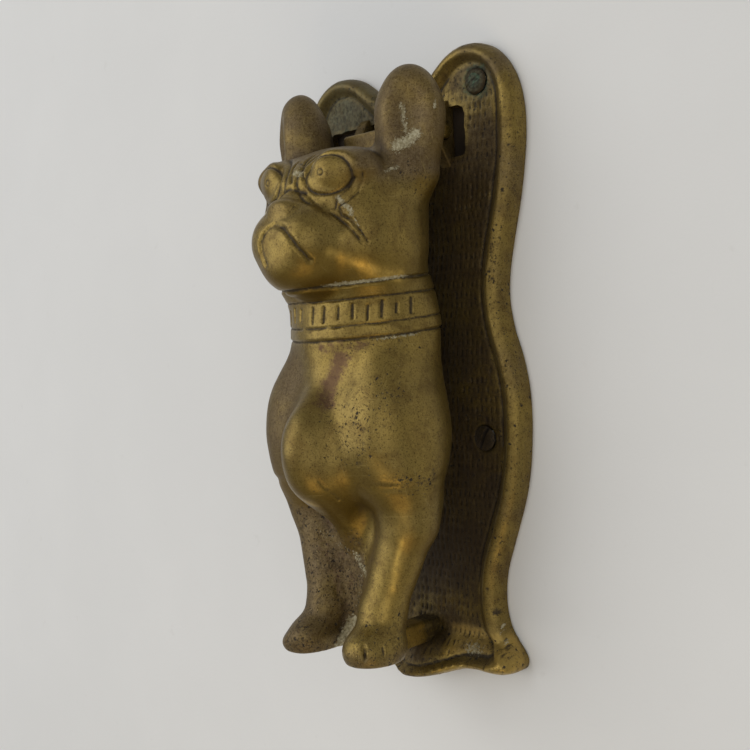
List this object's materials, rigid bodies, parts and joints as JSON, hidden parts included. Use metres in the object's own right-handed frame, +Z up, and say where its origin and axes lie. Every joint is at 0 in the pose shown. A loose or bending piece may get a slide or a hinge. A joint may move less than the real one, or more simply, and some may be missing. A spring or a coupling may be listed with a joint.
{
  "type": "door knocker",
  "caption": "Cast brass door knocker: a hinged standing bulldog casting swings on a cross pin in a dog-shaped back plate and falls on a strike block.",
  "frame": {"origin": "on the door plane and the centreline, on the flat pad at the foot of the plate's back", "axes": "+Y points into the door, -Y towards the visitor, +Z up, +X to the right as seen from the front"},
  "size_m": [0.0768, 0.0744, 0.1661],
  "materials": {
    "plate_brass": "aged cast brass with dark patina in the stippled panel",
    "dog_brass": "aged cast brass, rubbed smooth on the high parts, pitted and darker in the hollows",
    "pin_brass": "worn brass rod",
    "block_brass": "aged cast brass",
    "verdigris_screw": "brass screw under dark green corrosion",
    "dark_screw": "brass screw, nearly black with tarnish"
  },
  "bodies": {
    "plate": {"backplate": "plate_brass", "hinge_pin": "pin_brass", "strike_block": "block_brass", "fixing_screw_upper_right": "verdigris_screw", "fixing_screw_lower_left": "dark_screw", "fixing_screw_lower_right": "dark_screw"},
    "striker": {"dog_striker": "dog_brass"}
  },
  "joints": [
    {"name": "striker_hinge", "type": "hinge", "parent": "plate", "child": "striker", "pos_m": [0, -0.0047, 0.139], "axis": [-1, 0, 0], "range_deg": [0, 45]}
  ]
}
